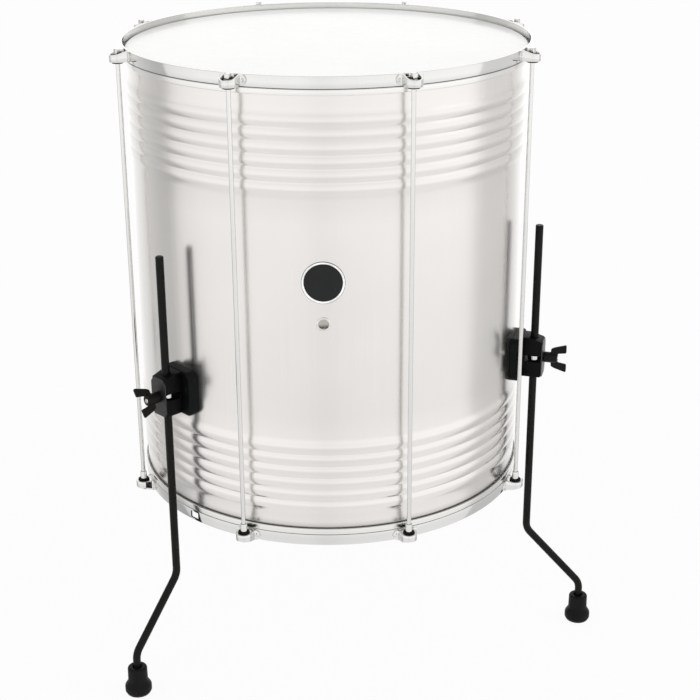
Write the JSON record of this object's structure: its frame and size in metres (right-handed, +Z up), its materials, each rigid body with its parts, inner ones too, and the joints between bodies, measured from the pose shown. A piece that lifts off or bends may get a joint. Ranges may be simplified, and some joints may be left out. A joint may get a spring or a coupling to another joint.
{
  "type": "surdo drum",
  "caption": "Deep bass drum on legs: beaded aluminium shell, white heads, chromed hoops with tension rods, clamped bent legs.",
  "frame": {"origin": "on the floor, under the middle of the whole part's bounding box, legs included", "axes": "+Z up along the drum's axis; -Y is the pictured front, with the vent hole; +X to the viewer's right"},
  "size_m": [0.6232, 0.6268, 0.8011],
  "materials": {
    "aluminium": "bright brushed",
    "chrome": "polished",
    "flesh_hoop": "satin",
    "head": "smooth white film",
    "nylon": "satin",
    "black_paint": "satin powder coat",
    "black_plastic": "satin",
    "rubber": "matt"
  },
  "bodies": {
    "drum": {"shell": "aluminium", "vent_grommet": "chrome", "bracket_base_1": "black_plastic", "bracket_base_2": "black_plastic", "bracket_base_3": "black_plastic", "clamp_housing_1": "black_paint", "clamp_housing_2": "black_paint", "clamp_housing_3": "black_paint"},
    "top_rim": {"top_hoop": "chrome", "top_flesh_hoop": "flesh_hoop", "top_head": "head", "top_bush_1": "nylon", "top_bush_2": "nylon", "top_bush_3": "nylon", "top_bush_4": "nylon", "top_bush_5": "nylon", "top_bush_6": "nylon", "top_bush_7": "nylon", "top_bush_8": "nylon"},
    "bottom_rim": {"bottom_hoop": "chrome", "bottom_flesh_hoop": "flesh_hoop", "bottom_head": "head", "bottom_bush_1": "nylon", "bottom_bush_2": "nylon", "bottom_bush_3": "nylon", "bottom_bush_4": "nylon", "bottom_bush_5": "nylon", "bottom_bush_6": "nylon", "bottom_bush_7": "nylon", "bottom_bush_8": "nylon", "rod_nut_1": "chrome", "rod_nut_2": "chrome", "rod_nut_3": "chrome", "rod_nut_4": "chrome", "rod_nut_5": "chrome", "rod_nut_6": "chrome", "rod_nut_7": "chrome", "rod_nut_8": "chrome"},
    "tension_rod_1": {"tension_rod_1": "chrome"},
    "tension_rod_2": {"tension_rod_2": "chrome"},
    "tension_rod_3": {"tension_rod_3": "chrome"},
    "tension_rod_4": {"tension_rod_4": "chrome"},
    "tension_rod_5": {"tension_rod_5": "chrome"},
    "tension_rod_6": {"tension_rod_6": "chrome"},
    "tension_rod_7": {"tension_rod_7": "chrome"},
    "tension_rod_8": {"tension_rod_8": "chrome"},
    "leg_1": {"leg_1": "black_paint", "foot_1": "rubber"},
    "eye_bolt_1": {"eye_bolt_1": "chrome"},
    "wing_nut_1": {"wing_nut_1": "black_paint"},
    "leg_2": {"leg_2": "black_paint", "foot_2": "rubber"},
    "eye_bolt_2": {"eye_bolt_2": "chrome"},
    "wing_nut_2": {"wing_nut_2": "black_paint"},
    "leg_3": {"leg_3": "black_paint", "foot_3": "rubber"},
    "eye_bolt_3": {"eye_bolt_3": "chrome"},
    "wing_nut_3": {"wing_nut_3": "black_paint"}
  },
  "joints": [
    {"name": "top_rim_lift", "type": "slide", "parent": "drum", "child": "top_rim", "axis": [0, 0, 1], "range_m": [0, 0.004]},
    {"name": "bottom_rim_drop", "type": "slide", "parent": "drum", "child": "bottom_rim", "axis": [0, 0, -1], "range_m": [0, 0.004]},
    {"name": "tension_rod_1_turn", "type": "hinge", "parent": "top_rim", "child": "tension_rod_1", "pos_m": [0.053, -0.28856, 0.8], "axis": [0, 0, 1], "continuous": true},
    {"name": "tension_rod_2_turn", "type": "hinge", "parent": "top_rim", "child": "tension_rod_2", "pos_m": [0.19761, -0.14396, 0.8], "axis": [0, 0, 1], "continuous": true},
    {"name": "tension_rod_3_turn", "type": "hinge", "parent": "top_rim", "child": "tension_rod_3", "pos_m": [0.19761, 0.06055, 0.8], "axis": [0, 0, 1], "continuous": true},
    {"name": "tension_rod_4_turn", "type": "hinge", "parent": "top_rim", "child": "tension_rod_4", "pos_m": [0.053, 0.20516, 0.8], "axis": [0, 0, 1], "continuous": true},
    {"name": "tension_rod_5_turn", "type": "hinge", "parent": "top_rim", "child": "tension_rod_5", "pos_m": [-0.1515, 0.20516, 0.8], "axis": [0, 0, 1], "continuous": true},
    {"name": "tension_rod_6_turn", "type": "hinge", "parent": "top_rim", "child": "tension_rod_6", "pos_m": [-0.29611, 0.06055, 0.8], "axis": [0, 0, 1], "continuous": true},
    {"name": "tension_rod_7_turn", "type": "hinge", "parent": "top_rim", "child": "tension_rod_7", "pos_m": [-0.29611, -0.14396, 0.8], "axis": [0, 0, 1], "continuous": true},
    {"name": "tension_rod_8_turn", "type": "hinge", "parent": "top_rim", "child": "tension_rod_8", "pos_m": [-0.1515, -0.28856, 0.8], "axis": [0, 0, 1], "continuous": true},
    {"name": "leg_1_height", "type": "slide", "parent": "drum", "child": "leg_1", "axis": [0, 0, 1], "range_m": [-0.15, 0.2]},
    {"name": "wing_nut_1_turn", "type": "hinge", "parent": "drum", "child": "wing_nut_1", "pos_m": [-0.26138, -0.25383, 0.3948], "axis": [-0.7071, -0.7071, 0], "range_deg": [0, 730]},
    {"name": "eye_bolt_1_slide", "type": "slide", "parent": "drum", "child": "eye_bolt_1", "axis": [0.7071, 0.7071, 0], "range_m": [0, 0.002]},
    {"name": "leg_2_height", "type": "slide", "parent": "drum", "child": "leg_2", "axis": [0, 0, 1], "range_m": [-0.15, 0.2]},
    {"name": "wing_nut_2_turn", "type": "hinge", "parent": "drum", "child": "wing_nut_2", "pos_m": [0.24053, -0.11935, 0.3948], "axis": [0.9659, -0.2588, 0], "range_deg": [0, 730]},
    {"name": "eye_bolt_2_slide", "type": "slide", "parent": "drum", "child": "eye_bolt_2", "axis": [-0.9659, 0.2588, 0], "range_m": [0, 0.002]},
    {"name": "leg_3_height", "type": "slide", "parent": "drum", "child": "leg_3", "axis": [0, 0, 1], "range_m": [-0.15, 0.2]},
    {"name": "wing_nut_3_turn", "type": "hinge", "parent": "drum", "child": "wing_nut_3", "pos_m": [-0.1269, 0.24807, 0.3948], "axis": [-0.2588, 0.9659, 0], "range_deg": [0, 730]},
    {"name": "eye_bolt_3_slide", "type": "slide", "parent": "drum", "child": "eye_bolt_3", "axis": [0.2588, -0.9659, 0], "range_m": [0, 0.002]}
  ],
  "couplings": [
    {"joint": "wing_nut_1_turn", "follows": "eye_bolt_1_slide", "rad_per_m": 6283.2},
    {"joint": "wing_nut_2_turn", "follows": "eye_bolt_2_slide", "rad_per_m": 6283.2},
    {"joint": "wing_nut_3_turn", "follows": "eye_bolt_3_slide", "rad_per_m": 6283.2}
  ]
}
